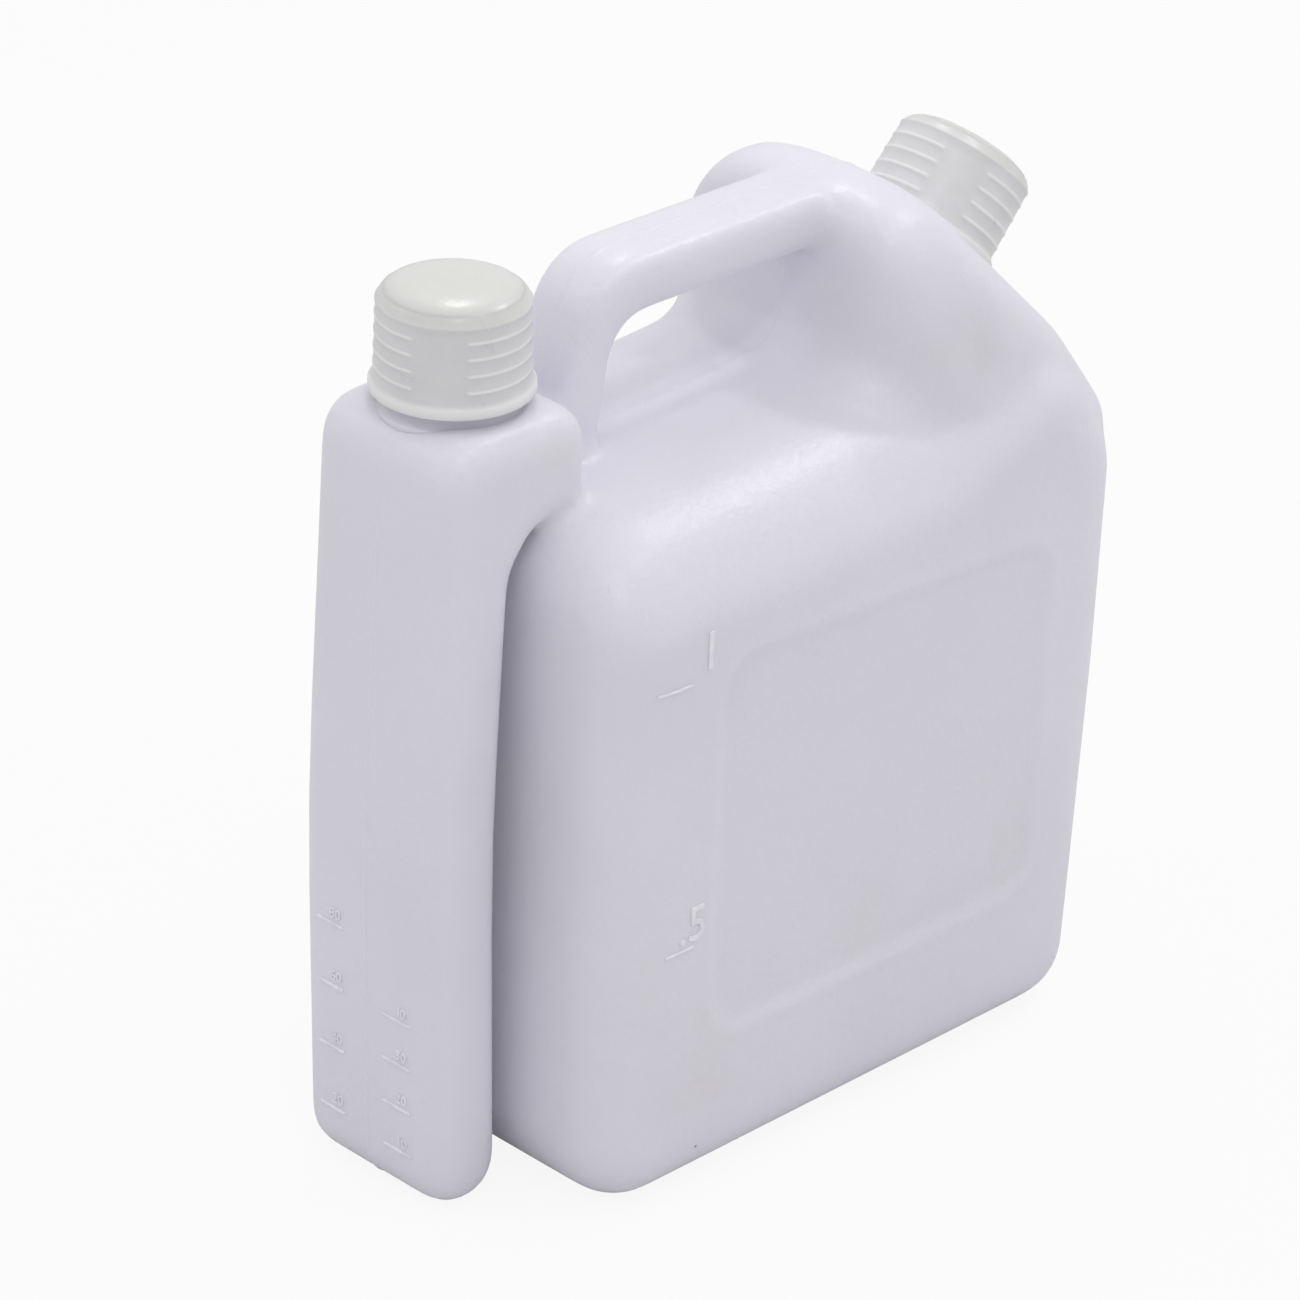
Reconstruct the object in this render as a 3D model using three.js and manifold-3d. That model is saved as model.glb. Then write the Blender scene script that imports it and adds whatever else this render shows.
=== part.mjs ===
// Fuel mixing bottle: one blown shell with a main tank, a narrow measuring chamber and a
// hollow handle, and two screw caps with their liners. Millimetres, +Z up, parting plane y = 0.
import * as THREE from 'three';
import { mergeVertices, toCreasedNormals } from 'three/addons/utils/BufferGeometryUtils.js';
import Module from 'manifold-3d';

const wasm = await Module();
wasm.setup();

// Driving dimensions of the bottle
const WALL = 1.6;
const TANK = {
  left: -60.8, right: 81.8, rightTop: 86.2, halfDepth: 46, edge: 13, shoulderHeight: 153.4,
  shoulderRight: 30, slopeTopX: 72, cornerBase: 14, cornerTop: 18,
};
// The hump rises above the shoulder, and its slope hangs below its top.
const HUMP = {
  left: 27, rise: 37.3, topRight: 43.5, halfDepth: 38, edge: 7, corner: 8,
  right: 85.3, footBelow: 72.7, slopeEndBelow: 48.7, tankSlopeBelow: 34.2, tankCornerBelow: 56.7,
};
const CHAMBER = {
  left: -84, right: -64.8, bow: 2.4, rise: 16.6, halfDepth: 20.6, edge: 6.5, corner: 9,
  passageFootBelow: 31, passageRight: -45.6, passageDepth: 23, passageStep: 6, bowHeight: 82,
  passageCorner: 7.4, bowRadius: 600,
};
const HANDLE = {
  belowHump: 0.5, grip: 12.8, halfWidth: 9.4, edge: 4, bend: -34, bendRadius: 16,
  innerBend: -28, innerBendRadius: 8, outerFoot: -47.5, innerFoot: -33, footDepth: 21, intoHump: 12, corner: 4.6,
};
const PANEL = { left: -33, right: 61.5, bottom: 35.5, topLeft: 119.5, topRight: 115.5, corner: 9, depth: 0.6 };
const TICK = { height: 0.4, width: 0.9 };
const TANK_TICKS = [{ z: 58.7, from: -47.5, to: -37.5 }, { z: 118.3, from: -55.5, to: -41.5 }];
const COARSE_SCALE = { base: -0.7, step: 14.6, count: 4, from: 9.5, to: 18 };
const FINE_SCALE = { base: 2.4, step: 10.2, count: 4, from: -8, to: 2 };

// Driving dimensions of the two necks and caps
const NECK = { outer: 12.7, inner: 11, height: 21.6, root: 3.4 };
const CAP = {
  skirtTop: 15, skirtBottom: 15.3, rim: 16.3, rimHeight: 1.8, flareHeight: 4.2,
  crown: 3.9, topWall: 2.2, clearance: 0.8, lift: 2.4,
};
const SEAL = { thickness: 1.2, clearance: 0.3 };
const MEASURING_NECK_X = -64.6;
const SPOUT = { x: 65.6, belowTop: 25.3, tilt: 42.5 };

// Heights that follow from the ones above
const humpTop = TANK.shoulderHeight + HUMP.rise;
const chamberHeight = TANK.shoulderHeight + CHAMBER.rise;
const passageInTank = chamberHeight - CHAMBER.passageDepth;
const handleTop = humpTop - HANDLE.belowHump;
const handleBottom = handleTop - HANDLE.grip;
const handleFoot = chamberHeight - HANDLE.footDepth;

// Facet counts
const ROUND = 40;
const EDGE_STEPS = 4;
const ARC_STEP = Math.PI / 12;
const CROWN_STEPS = 4;
const CREASE = THREE.MathUtils.degToRad(35);
const MERGE = 0.02;

const bottleMaterial = new THREE.MeshStandardMaterial({ color: 0xdcdce6, roughness: 0.42, metalness: 0 });
const capMaterial = new THREE.MeshStandardMaterial({ color: 0xd6d8d6, roughness: 0.35, metalness: 0 });
const sealMaterial = new THREE.MeshStandardMaterial({ color: 0xf2f2ee, roughness: 0.7, metalness: 0 });

// Turns a closed three.js geometry into a solid for the cuts and joins.
function toSolid(geometry) {
  const bare = geometry.clone();
  bare.deleteAttribute('normal');
  bare.deleteAttribute('uv');
  const merged = mergeVertices(bare, 1e-4);
  return new wasm.Manifold(new wasm.Mesh({
    numProp: 3,
    vertProperties: new Float32Array(merged.attributes.position.array),
    triVerts: new Uint32Array(merged.index.array),
  }));
}

// Turns a solid back into a geometry with smooth shading over its soft edges.
function toGeometry(solid) {
  const mesh = solid.getMesh();
  const geometry = new THREE.BufferGeometry();
  geometry.setAttribute('position', new THREE.BufferAttribute(new Float32Array(mesh.vertProperties), 3));
  geometry.setIndex(new THREE.BufferAttribute(new Uint32Array(mesh.triVerts), 1));
  return toCreasedNormals(geometry, CREASE);
}

// Outline through corner points, each rounded by its own radius r (0 keeps it sharp).
function roundedOutline(corners) {
  const points = [];
  corners.forEach((corner, i) => {
    const here = new THREE.Vector2(corner.x, corner.z);
    if (!corner.r) {
      points.push(here);
      return;
    }
    const before = corners[(i + corners.length - 1) % corners.length];
    const after = corners[(i + 1) % corners.length];
    const back = new THREE.Vector2(before.x, before.z).sub(here).normalize();
    const ahead = new THREE.Vector2(after.x, after.z).sub(here).normalize();
    const half = Math.acos(THREE.MathUtils.clamp(back.dot(ahead), -1, 1)) / 2;
    const centre = back.clone().add(ahead).normalize().multiplyScalar(corner.r / Math.sin(half)).add(here);
    const start = back.clone().multiplyScalar(corner.r / Math.tan(half)).add(here).sub(centre);
    const turn = Math.PI - 2 * half;
    const sense = Math.sign(back.cross(ahead)) * -1;
    const steps = Math.max(2, Math.ceil(turn / ARC_STEP));
    for (let k = 0; k <= steps; k += 1) {
      const spoke = start.clone().rotateAround(new THREE.Vector2(), sense * turn * (k / steps));
      points.push(spoke.add(centre));
    }
  });
  return new THREE.Shape(points);
}

// Blown body: an outline in the parting plane, thickened to both sides with rounded edges.
// grow > 0 gives the outer skin moved outward, grow < 0 the cavity inside it.
function blownSolid(corners, halfDepth, edge, grow = 0) {
  const depth = 2 * (halfDepth - edge);
  const geometry = new THREE.ExtrudeGeometry(roundedOutline(corners), {
    depth,
    bevelEnabled: true,
    bevelThickness: edge + grow,
    bevelSize: edge + grow,
    bevelOffset: -edge,
    bevelSegments: EDGE_STEPS,
  });
  geometry.translate(0, 0, -depth / 2);
  geometry.rotateX(Math.PI / 2);
  return toSolid(geometry);
}

function boxSolid(minimum, maximum) {
  const size = maximum.map((value, i) => value - minimum[i]);
  const geometry = new THREE.BoxGeometry(...size);
  geometry.translate(...minimum.map((value, i) => value + size[i] / 2));
  return toSolid(geometry);
}

// Turned piece: pairs of radius and height, closed on itself or on the axis.
function turned(profile) {
  const points = profile.map(([radius, height]) => new THREE.Vector2(radius, height));
  const geometry = new THREE.LatheGeometry(points, ROUND);
  geometry.rotateX(Math.PI / 2);
  return geometry;
}

function tankOutline() {
  return [
    { x: TANK.left, z: 0, r: TANK.cornerBase },
    { x: TANK.right, z: 0, r: TANK.cornerBase },
    { x: TANK.rightTop, z: humpTop - HUMP.tankCornerBelow, r: TANK.cornerTop },
    { x: TANK.slopeTopX, z: humpTop - HUMP.tankSlopeBelow, r: TANK.cornerBase },
    { x: TANK.shoulderRight, z: TANK.shoulderHeight, r: 0 },
    { x: TANK.left, z: TANK.shoulderHeight, r: TANK.cornerBase },
  ];
}

function humpOutline() {
  return [
    { x: HUMP.left, z: humpTop - HUMP.footBelow, r: HUMP.corner },
    { x: HUMP.right, z: humpTop - HUMP.footBelow, r: HUMP.corner },
    { x: HUMP.right, z: humpTop - HUMP.slopeEndBelow, r: HUMP.corner },
    { x: HUMP.topRight, z: humpTop, r: HUMP.corner },
    { x: HUMP.left, z: humpTop, r: HUMP.corner },
  ];
}

function chamberOutline() {
  return [
    { x: CHAMBER.left, z: 0, r: CHAMBER.corner },
    { x: CHAMBER.right, z: 0, r: CHAMBER.corner },
    { x: CHAMBER.right - CHAMBER.bow, z: CHAMBER.bowHeight, r: CHAMBER.bowRadius },
    { x: CHAMBER.right, z: chamberHeight - CHAMBER.passageFootBelow, r: CHAMBER.corner },
    { x: CHAMBER.right + CHAMBER.passageStep, z: passageInTank, r: CHAMBER.passageCorner },
    { x: CHAMBER.passageRight, z: passageInTank, r: CHAMBER.passageCorner },
    { x: CHAMBER.passageRight, z: chamberHeight, r: CHAMBER.passageCorner },
    { x: CHAMBER.left + CHAMBER.bow / 2, z: chamberHeight, r: CHAMBER.corner },
    { x: CHAMBER.left - CHAMBER.bow, z: CHAMBER.bowHeight, r: CHAMBER.bowRadius },
  ];
}

function handleOutline() {
  const end = HUMP.left + HANDLE.intoHump;
  return [
    { x: end, z: handleTop, r: HANDLE.corner },
    { x: HANDLE.bend, z: handleTop, r: HANDLE.bendRadius },
    { x: HANDLE.outerFoot, z: handleFoot, r: HANDLE.corner },
    { x: HANDLE.innerFoot, z: handleFoot, r: HANDLE.corner },
    { x: HANDLE.innerBend, z: handleBottom, r: HANDLE.innerBendRadius },
    { x: end, z: handleBottom, r: HANDLE.corner },
  ];
}

const BODIES = [
  { outline: tankOutline(), halfDepth: TANK.halfDepth, edge: TANK.edge },
  { outline: humpOutline(), halfDepth: HUMP.halfDepth, edge: HUMP.edge },
  { outline: chamberOutline(), halfDepth: CHAMBER.halfDepth, edge: CHAMBER.edge },
  { outline: handleOutline(), halfDepth: HANDLE.halfWidth, edge: HANDLE.edge },
];

function joinedBodies(grow) {
  return wasm.Manifold.union(BODIES.map((b) => blownSolid(b.outline, b.halfDepth, b.edge, grow)));
}

// Each neck stands on its seat, from its root inside the wall up to the lip.
const NECK_SEATS = [
  { name: 'measuring', x: MEASURING_NECK_X, z: chamberHeight, tilt: 0 },
  { name: 'spout', x: SPOUT.x, z: humpTop - SPOUT.belowTop, tilt: SPOUT.tilt },
];

function atSeat(geometry, seat) {
  const placed = geometry.clone();
  placed.rotateY(THREE.MathUtils.degToRad(seat.tilt));
  placed.translate(seat.x, 0, seat.z);
  return placed;
}

function neckSolid(seat, radius, top) {
  const profile = [[0, -NECK.root], [radius, -NECK.root], [radius, top], [0, top]];
  return toSolid(atSeat(turned(profile), seat));
}

// Shallow panel for a label, pressed into the tank's front and back faces.
function panelSolid(side) {
  const shape = roundedOutline([
    { x: PANEL.left, z: PANEL.bottom, r: PANEL.corner },
    { x: PANEL.right, z: PANEL.bottom, r: PANEL.corner },
    { x: PANEL.right, z: PANEL.topRight, r: PANEL.corner },
    { x: PANEL.left, z: PANEL.topLeft, r: PANEL.corner },
  ]);
  const geometry = new THREE.ExtrudeGeometry(shape, { depth: 2 * PANEL.depth, bevelEnabled: false });
  geometry.translate(0, 0, -PANEL.depth);
  geometry.rotateX(Math.PI / 2);
  geometry.translate(0, side * TANK.halfDepth, 0);
  return toSolid(geometry);
}

// Raised level marks: bands of the skin moved outward, cut out by small boxes.
function tickSolids() {
  const half = TICK.width / 2;
  const tankSkin = blownSolid(tankOutline(), TANK.halfDepth, TANK.edge, TICK.height);
  const chamberSkin = blownSolid(chamberOutline(), CHAMBER.halfDepth, CHAMBER.edge, TICK.height);
  const reach = TANK.halfDepth + 2 * TICK.height;
  const depth = TANK.halfDepth - TANK.edge + WALL;
  const tankBoxes = TANK_TICKS.flatMap(({ z, from, to }) => [
    boxSolid([from, -reach, z - half], [to, -depth, z + half]),
    boxSolid([from, depth, z - half], [to, reach, z + half]),
  ]);
  const chamberBoxes = [COARSE_SCALE, FINE_SCALE].flatMap(({ base, step, count, from, to }) => (
    Array.from({ length: count }, (_, i) => base + step * (i + 1)).map((z) => boxSolid(
      [CHAMBER.left - 2 * CHAMBER.bow, from, z - half],
      [CHAMBER.left + WALL / 2, to, z + half],
    ))
  ));
  return [
    wasm.Manifold.union(tankBoxes).intersect(tankSkin),
    wasm.Manifold.union(chamberBoxes).intersect(chamberSkin),
  ];
}

function bottleGeometry() {
  const necks = NECK_SEATS.map((seat) => neckSolid(seat, NECK.outer, NECK.height));
  const bores = NECK_SEATS.map((seat) => neckSolid(seat, NECK.inner, NECK.height + WALL));
  const skin = wasm.Manifold.union([joinedBodies(0), ...necks])
    .subtract(wasm.Manifold.union([panelSolid(-1), panelSolid(1)]));
  const marked = wasm.Manifold.union([skin, ...tickSolids()]);
  const hollow = marked.subtract(wasm.Manifold.union([joinedBodies(-WALL), ...bores]));
  return toGeometry(hollow.simplify(MERGE));
}

// Heights above the neck's seat that cap and liner share
const sealBottom = NECK.height;
const capInnerTop = sealBottom + SEAL.thickness;
const capTop = capInnerTop + CAP.topWall;
const capInner = NECK.outer + CAP.clearance;

function capGeometry() {
  const shoulder = capTop - CAP.crown;
  const crownRadius = CAP.skirtTop - CAP.crown;
  const crown = Array.from({ length: CROWN_STEPS }, (_, i) => i + 1).map((k) => {
    const angle = (k / CROWN_STEPS) * (Math.PI / 2);
    return [crownRadius + CAP.crown * Math.cos(angle), shoulder + CAP.crown * Math.sin(angle)];
  });
  return turned([
    [0, capInnerTop], [capInner, capInnerTop], [capInner, CAP.lift],
    [CAP.rim, CAP.lift], [CAP.rim, CAP.lift + CAP.rimHeight],
    [CAP.skirtBottom, CAP.lift + CAP.flareHeight], [CAP.skirtTop, shoulder],
    ...crown, [0, capTop],
  ]);
}

function sealGeometry() {
  const radius = capInner - SEAL.clearance;
  return turned([[0, sealBottom], [radius, sealBottom], [radius, capInnerTop], [0, capInnerTop]]);
}

function namedMesh(name, geometry, material) {
  const mesh = new THREE.Mesh(geometry, material);
  mesh.name = name;
  return mesh;
}

const product = new THREE.Group();
product.add(namedMesh('bottle', bottleGeometry(), bottleMaterial));
NECK_SEATS.forEach((seat) => {
  const closure = new THREE.Group();
  closure.position.set(seat.x, 0, seat.z);
  closure.rotation.y = THREE.MathUtils.degToRad(seat.tilt);
  closure.add(namedMesh(`${seat.name}_cap`, capGeometry(), capMaterial));
  closure.add(namedMesh(`${seat.name}_cap_seal`, sealGeometry(), sealMaterial));
  product.add(closure);
});

// The origin is the bottom centre of the whole object's box.
const box = new THREE.Box3().setFromObject(product, true);
product.position.x = -(box.min.x + box.max.x) / 2;

const fuelMixingBottle = new THREE.Group();
fuelMixingBottle.add(product);
export default fuelMixingBottle;
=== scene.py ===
import logging
import math
from collections.abc import Callable, Sequence
from dataclasses import dataclass
from enum import Enum

import bpy
import numpy as np
from mathutils import Matrix, Vector


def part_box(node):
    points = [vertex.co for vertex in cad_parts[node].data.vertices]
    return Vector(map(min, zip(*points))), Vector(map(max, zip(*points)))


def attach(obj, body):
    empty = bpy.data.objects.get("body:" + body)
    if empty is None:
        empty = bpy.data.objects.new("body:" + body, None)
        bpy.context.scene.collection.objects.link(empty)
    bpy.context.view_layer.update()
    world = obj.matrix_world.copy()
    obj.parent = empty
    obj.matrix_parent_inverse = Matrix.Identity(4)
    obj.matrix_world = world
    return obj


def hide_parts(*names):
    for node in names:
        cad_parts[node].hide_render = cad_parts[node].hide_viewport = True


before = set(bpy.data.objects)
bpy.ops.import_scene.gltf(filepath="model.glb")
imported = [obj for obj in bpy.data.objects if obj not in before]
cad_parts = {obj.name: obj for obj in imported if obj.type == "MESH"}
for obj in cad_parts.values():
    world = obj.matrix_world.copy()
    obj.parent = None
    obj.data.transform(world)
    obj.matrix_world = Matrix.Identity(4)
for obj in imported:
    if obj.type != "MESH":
        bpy.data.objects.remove(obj)  # CAD bodies, nodes, joints and record

LOG = logging.getLogger("fuel_mixing_bottle")
MM = 0.001

# Outlines are drawn in millimetres from the tank's own middle, and the CAD frame's origin
# is a little to its right: this is where the drawing's zero lies in the CAD frame.
MEASURING_NECK_X = -64.6
LINER_LOW, LINER_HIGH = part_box("measuring_cap_seal")
DRAWING_SHIFT = (LINER_LOW.x + LINER_HIGH.x) / 2 / MM - MEASURING_NECK_X

Point = tuple[float, float]
Corner = tuple[float, float, float]


class Axis(Enum):
    """Directions a marking can face."""

    FRONT = "front"
    OUTER = "outer"


class Join(Enum):
    """How one solid changes another."""

    ADD = "UNION"
    CUT = "DIFFERENCE"


class Bench:
    """Modelling moves that every sub-assembly shares."""

    @staticmethod
    def clear() -> None:
        """Deselect everything, CAD nodes included."""
        if bpy.context.object and bpy.context.object.mode != "OBJECT":
            bpy.ops.object.mode_set(mode="OBJECT")
        bpy.ops.object.select_all(action="DESELECT")

    @staticmethod
    def pick(obj: bpy.types.Object) -> None:
        """Make one object the only selected and active one.

        Args:
            obj: The object to work on.
        """
        Bench.clear()
        obj.select_set(True)
        bpy.context.view_layer.objects.active = obj

    @staticmethod
    def read(obj: bpy.types.Object) -> np.ndarray:
        """Read the vertex places of a mesh.

        Args:
            obj: The mesh object.

        Returns:
            An array of one row of three coordinates per vertex, in metres.
        """
        places = np.empty(len(obj.data.vertices) * 3)
        obj.data.vertices.foreach_get("co", places)
        return places.reshape(-1, 3)

    @staticmethod
    def write(obj: bpy.types.Object, places: np.ndarray) -> None:
        """Put the vertices of a mesh at new places.

        Args:
            obj: The mesh object.
            places: One row of three coordinates per vertex, in metres.
        """
        obj.data.vertices.foreach_set("co", np.ascontiguousarray(places, dtype=np.float32).ravel())
        obj.data.update()

    @staticmethod
    def normals(obj: bpy.types.Object) -> np.ndarray:
        """Read the vertex normals of a mesh, one row each."""
        found = np.empty(len(obj.data.vertices) * 3)
        obj.data.vertex_normals.foreach_get("vector", found)
        return found.reshape(-1, 3)

    @staticmethod
    def ring(name: str, places: Sequence[Sequence[float]], filled: bool) -> bpy.types.Object:
        """Lay a circle primitive along a closed row of points.

        Args:
            name: Name of the new object.
            places: Points in metres.
            filled: Whether the ring gets a face.

        Returns:
            The new object.
        """
        Bench.clear()
        bpy.ops.mesh.primitive_circle_add(
            vertices=len(places), radius=0.05, fill_type="NGON" if filled else "NOTHING"
        )
        obj = bpy.context.object
        obj.name = name
        Bench.write(obj, np.array(places))
        return obj

    @staticmethod
    def modify(obj: bpy.types.Object, kind: str, **settings: object) -> None:
        """Add a modifier and apply it.

        Args:
            obj: The object to change.
            kind: Blender's name of the modifier.
            **settings: Values for the modifier.
        """
        Bench.pick(obj)
        modifier = obj.modifiers.new(kind.lower(), kind)
        for key, value in settings.items():
            setattr(modifier, key, value)
        bpy.ops.object.modifier_apply(modifier=modifier.name)

    @staticmethod
    def edit(obj: bpy.types.Object, *moves: Callable[[], object]) -> None:
        """Run edit-mode operators on a whole mesh.

        Args:
            obj: The mesh object.
            *moves: Calls that each run one operator.
        """
        Bench.pick(obj)
        bpy.ops.object.mode_set(mode="EDIT")
        bpy.ops.mesh.select_mode(type="VERT")
        bpy.ops.mesh.select_all(action="SELECT")
        for move in moves:
            move()
        bpy.ops.object.mode_set(mode="OBJECT")

    @staticmethod
    def slice_at(obj: bpy.types.Object, point: Sequence[float], normal: Sequence[float]) -> None:
        """Put a loop of edges where a plane crosses a mesh.

        Args:
            obj: The mesh object.
            point: A point of the plane, in metres.
            normal: The plane's normal.
        """
        Bench.edit(obj, lambda: bpy.ops.mesh.bisect(plane_co=point, plane_no=normal, threshold=1e-6))

    @staticmethod
    def combine(target: bpy.types.Object, other: bpy.types.Object, how: Join) -> None:
        """Add another solid to a solid, or cut it away, and delete the other one.

        Args:
            target: The solid that is kept.
            other: The solid that is used up.
            how: Whether it is added or cut away.
        """
        Bench.modify(target, "BOOLEAN", object=other, operation=how.value, solver="MANIFOLD")
        bpy.data.objects.remove(other, do_unlink=True)

    @staticmethod
    def weld(pieces: Sequence[bpy.types.Object], name: str) -> bpy.types.Object:
        """Join several meshes into one object.

        Args:
            pieces: The objects, the first of which is kept.
            name: Name of the joined object.

        Returns:
            The joined object.
        """
        Bench.clear()
        for piece in pieces:
            piece.select_set(True)
        bpy.context.view_layer.objects.active = pieces[0]
        if len(pieces) > 1:
            bpy.ops.object.join()
        pieces[0].name = name
        return pieces[0]

    @staticmethod
    def place(obj: bpy.types.Object, matrix: Matrix) -> None:
        """Move a mesh into place and leave its object at the origin.

        Args:
            obj: The mesh object.
            matrix: Where its own frame goes.
        """
        obj.data.transform(matrix)
        if matrix.to_3x3().determinant() < 0:
            obj.data.flip_normals()

    @staticmethod
    def turned(name: str, profile: Sequence[Point], steps: int = 96) -> bpy.types.Object:
        """Spin a closed profile of radius and height round the Z axis.

        Args:
            name: Name of the new object.
            profile: Radius and height of each point, in millimetres.
            steps: Faces round the axis.

        Returns:
            The turned solid.
        """
        obj = Bench.ring(name, [(radius * MM, 0.0, height * MM) for radius, height in profile], False)
        Bench.edit(
            obj,
            lambda: bpy.ops.mesh.spin(
                steps=steps, angle=2 * math.pi, center=(0, 0, 0), axis=(0, 0, 1), use_auto_merge=True
            ),
            lambda: bpy.ops.mesh.remove_doubles(threshold=2e-6),
            lambda: bpy.ops.mesh.delete_loose(),
            lambda: bpy.ops.mesh.normals_make_consistent(inside=False),
        )
        return obj

    @staticmethod
    def helix(name: str, section: Sequence[Point], turns: float, pitch: float) -> bpy.types.Object:
        """Sweep a small section up a screw path round the Z axis.

        Args:
            name: Name of the new object.
            section: Radius and height of each point of the section, in millimetres.
            turns: Number of turns.
            pitch: Rise of one turn, in millimetres.

        Returns:
            The thread, closed at both ends.
        """
        obj = Bench.ring(name, [(radius * MM, 0.0, height * MM) for radius, height in section], False)
        Bench.modify(
            obj, "SCREW", angle=2 * math.pi * turns, screw_offset=pitch * turns * MM,
            steps=int(48 * turns), render_steps=int(48 * turns), axis="Z", use_smooth_shade=True,
        )
        Bench.edit(
            obj,
            lambda: bpy.ops.mesh.fill_holes(sides=len(section)),
            lambda: bpy.ops.mesh.normals_make_consistent(inside=False),
        )
        return obj


def rounded(corners: Sequence[Corner], step: float = math.radians(9)) -> list[Point]:
    """Round the corners of a polygon.

    Args:
        corners: Two coordinates and a radius for each corner, where 0 stays sharp.
        step: Largest angle between two points of an arc, in radians.

    Returns:
        The points of the rounded outline.
    """
    points: list[Point] = []
    for index, (x, z, radius) in enumerate(corners):
        here = Vector((x, z))
        if not radius:
            points.append((x, z))
            continue
        back = (Vector(corners[index - 1][:2]) - here).normalized()
        ahead = (Vector(corners[(index + 1) % len(corners)][:2]) - here).normalized()
        half = math.acos(max(-1.0, min(1.0, back.dot(ahead)))) / 2
        centre = here + (back + ahead).normalized() * (radius / math.sin(half))
        start = here + back * (radius / math.tan(half)) - centre
        turn = math.pi - 2 * half
        sense = -math.copysign(1.0, back.x * ahead.y - back.y * ahead.x)
        steps = max(2, math.ceil(turn / step))
        for count in range(steps + 1):
            spoke = Matrix.Rotation(sense * turn * count / steps, 2) @ start
            points.append((centre.x + spoke.x, centre.y + spoke.y))
    return points


def ramp(value: np.ndarray, low: float, high: float) -> np.ndarray:
    """Rise smoothly from 0 at one value to 1 at another.

    Args:
        value: The values to look up.
        low: Where the result is 0.
        high: Where the result is 1.

    Returns:
        The eased values.
    """
    share = np.clip((value - low) / (high - low), 0.0, 1.0)
    return share * share * (3 - 2 * share)


class Term:
    """A number inside a material, which adds and multiplies as numbers do."""

    def __init__(self, tree: bpy.types.NodeTree, socket: bpy.types.NodeSocket) -> None:
        """Keep the socket that carries the number."""
        self.tree = tree
        self.socket = socket

    def math(self, operation: str, *values: "Term | float", first: bool = True) -> "Term":
        """Add one Math node.

        Args:
            operation: Blender's name of the operation.
            *values: The other values.
            first: Whether this number is the first operand.

        Returns:
            The result.
        """
        node = self.tree.nodes.new("ShaderNodeMath")
        node.operation = operation
        row: list[Term | float] = [self, *values] if first else [*values, self]
        for slot, value in zip(node.inputs, row):
            if isinstance(value, Term):
                self.tree.links.new(value.socket, slot)
            else:
                slot.default_value = value
        return Term(self.tree, node.outputs[0])

    def __add__(self, other: "Term | float") -> "Term":
        """Add."""
        return self.math("ADD", other)

    __radd__ = __add__

    def __mul__(self, other: "Term | float") -> "Term":
        """Multiply."""
        return self.math("MULTIPLY", other)

    __rmul__ = __mul__

    def __sub__(self, other: "Term | float") -> "Term":
        """Subtract."""
        return self.math("SUBTRACT", other)

    def __rsub__(self, other: float) -> "Term":
        """Subtract this from a number."""
        return self.math("SUBTRACT", other, first=False)

    def below(self, limit: float) -> "Term":
        """Give 1 where this is less than a limit, and 0 elsewhere."""
        return self.math("LESS_THAN", limit)

    def above(self, limit: float) -> "Term":
        """Give 1 where this is more than a limit, and 0 elsewhere."""
        return self.math("GREATER_THAN", limit)

    def eased(self, low: float, high: float) -> "Term":
        """Rise smoothly from 0 at one value to 1 at another.

        Args:
            low: Where the result is 0.
            high: Where the result is 1.

        Returns:
            The eased number.
        """
        node = self.tree.nodes.new("ShaderNodeMapRange")
        node.interpolation_type = "SMOOTHSTEP"
        self.tree.links.new(self.socket, node.inputs["Value"])
        node.inputs["From Min"].default_value = low
        node.inputs["From Max"].default_value = high
        return Term(self.tree, node.outputs["Result"])


Colour = tuple[float, float, float, float]


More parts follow.
